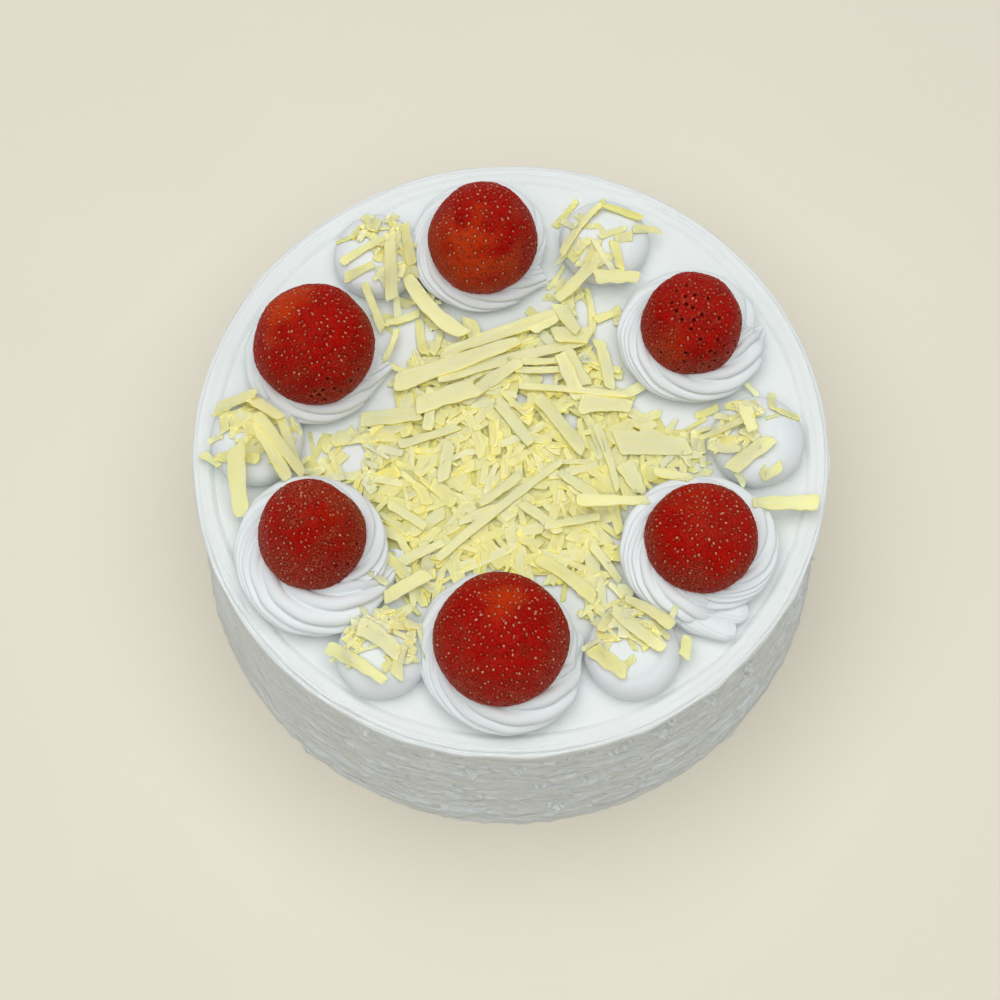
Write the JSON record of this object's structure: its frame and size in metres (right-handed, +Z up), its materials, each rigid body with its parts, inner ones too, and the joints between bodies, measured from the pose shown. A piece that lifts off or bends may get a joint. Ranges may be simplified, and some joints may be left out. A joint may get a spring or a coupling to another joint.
{
  "type": "strawberry cake",
  "caption": "Round whipped-cream cake with whole strawberries on piped rosettes, smooth cream kisses between them and white chocolate shavings on top.",
  "frame": {"origin": "middle of the flat underside of the cake", "axes": "+Z up through the cake, -Y towards the front of the view, +X to the right"},
  "size_m": [0.1831, 0.1829, 0.1031],
  "materials": {
    "cream": "soft white whipped cream, satin",
    "strawberry": "ripe red skin, satin gloss, with pale seeds in dimples",
    "shavings": "pale yellow white chocolate, waxy"
  },
  "bodies": {
    "root": {"iced_cake": "cream", "rosette_1": "cream", "rosette_2": "cream", "rosette_3": "cream", "rosette_4": "cream", "rosette_5": "cream", "rosette_6": "cream", "strawberry_1": "strawberry", "strawberry_2": "strawberry", "strawberry_3": "strawberry", "strawberry_4": "strawberry", "strawberry_5": "strawberry", "strawberry_6": "strawberry", "kiss_1": "cream", "kiss_2": "cream", "kiss_3": "cream", "kiss_4": "cream", "kiss_5": "cream", "kiss_6": "cream", "shavings_heap": "shavings"}
  },
  "joints": []
}
